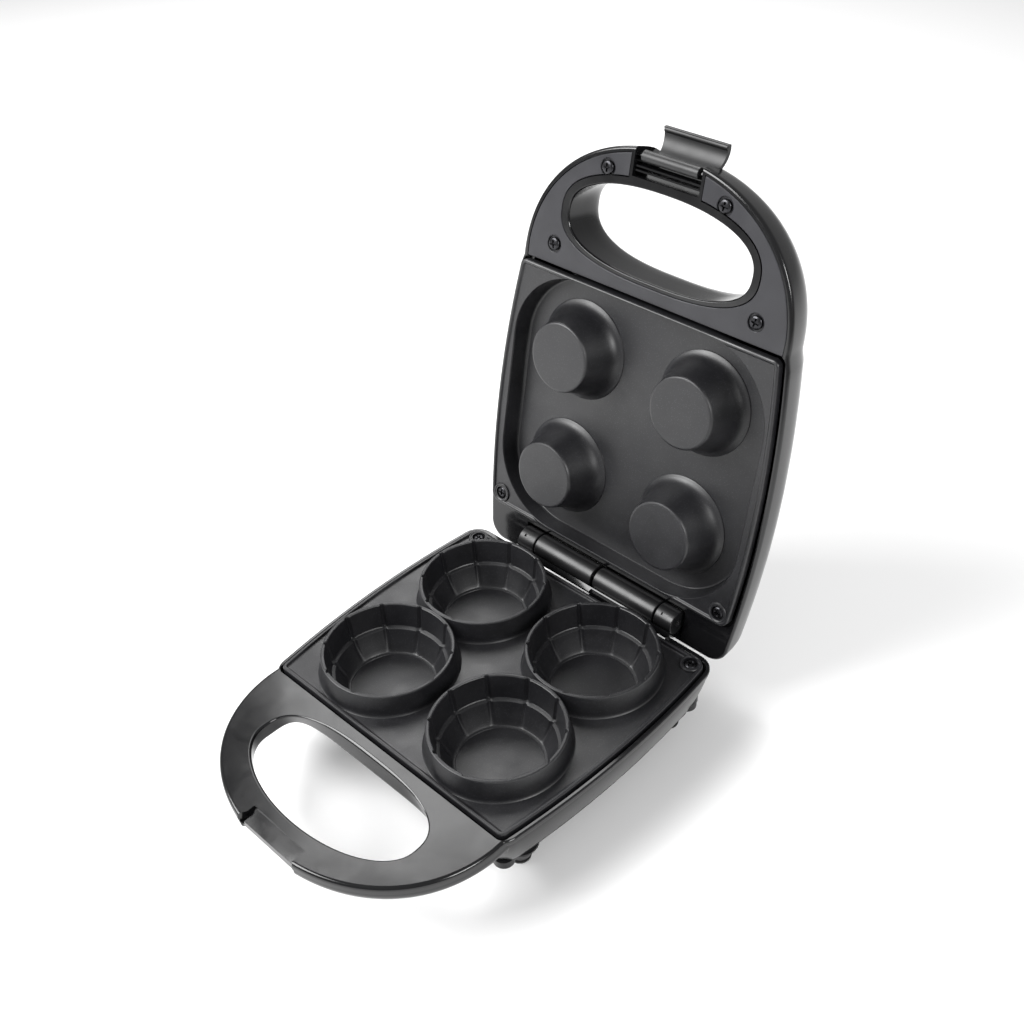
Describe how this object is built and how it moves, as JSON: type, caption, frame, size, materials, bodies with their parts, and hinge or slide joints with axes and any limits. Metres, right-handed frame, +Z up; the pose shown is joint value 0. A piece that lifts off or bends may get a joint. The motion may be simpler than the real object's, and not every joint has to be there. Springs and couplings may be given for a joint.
{
  "type": "mini pie maker",
  "caption": "Open clamshell mini pie maker: deep grooved round cups below, cone formers in the hinged lid, loop handles and a flip-over hook latch.",
  "frame": {"origin": "centre of the opened appliance's bounding box, on the surface that the feet rest on", "axes": "+X to the right seen from the handle end, +Y from the handle towards the hinge, +Z up"},
  "size_m": [0.2034, 0.3448, 0.3097],
  "materials": {
    "gloss_shell": "glossy black moulded phenolic, faint moulding ripple",
    "satin_cover": "satin black moulded plastic",
    "satin_panel": "satin dark grey moulded plastic",
    "latch_plastic": "satin black nylon",
    "nonstick_plate": "die-cast aluminium with a speckled charcoal non-stick coat",
    "black_screw": "black oxide steel, satin",
    "bright_steel": "zinc-plated steel",
    "heater_sheath": "annealed stainless heater sheath",
    "reflector_sheet": "aluminised sheet",
    "ceramic_body": "off-white insulating body",
    "soft_rubber": "matt black rubber",
    "red_lens": "clear red moulded lens",
    "green_lens": "clear green moulded lens"
  },
  "bodies": {
    "base": {"base_housing": "gloss_shell", "base_cover": "satin_cover", "lower_mould_plate": "nonstick_plate", "lower_plate_screw_left": "black_screw", "lower_plate_screw_right": "black_screw", "lower_element": "heater_sheath", "lower_reflector": "reflector_sheet", "lower_thermostat": "ceramic_body", "terminal_block": "ceramic_body", "cord_bush": "soft_rubber", "foot_pad_front_left": "soft_rubber", "foot_pad_front_right": "soft_rubber", "foot_pad_back_left": "soft_rubber", "foot_pad_back_right": "soft_rubber", "cover_screw_front_left": "bright_steel", "cover_screw_front_right": "bright_steel", "cover_screw_back_left": "bright_steel", "cover_screw_back_right": "bright_steel", "hinge_pin": "bright_steel"},
    "lid": {"lid_housing": "gloss_shell", "handle_panel": "satin_panel", "upper_mould_plate": "nonstick_plate", "upper_plate_screw_left": "black_screw", "upper_plate_screw_right": "black_screw", "panel_screw_front_left": "black_screw", "panel_screw_front_right": "black_screw", "panel_screw_back_left": "black_screw", "panel_screw_back_right": "black_screw", "upper_element": "heater_sheath", "upper_reflector": "reflector_sheet", "upper_thermostat": "ceramic_body", "lamp_red": "red_lens", "lamp_green": "green_lens", "latch_pin": "bright_steel"},
    "latch": {"latch": "latch_plastic"}
  },
  "joints": [
    {"name": "lid_hinge", "type": "hinge", "parent": "base", "child": "lid", "pos_m": [0, 0.0879, 0.0517], "axis": [1, 0, 0], "range_deg": [0, 102]},
    {"name": "latch_pivot", "type": "hinge", "parent": "lid", "child": "latch", "pos_m": [0, 0.14795, 0.30034], "axis": [1, 0, 0], "range_deg": [0, 145]}
  ]
}
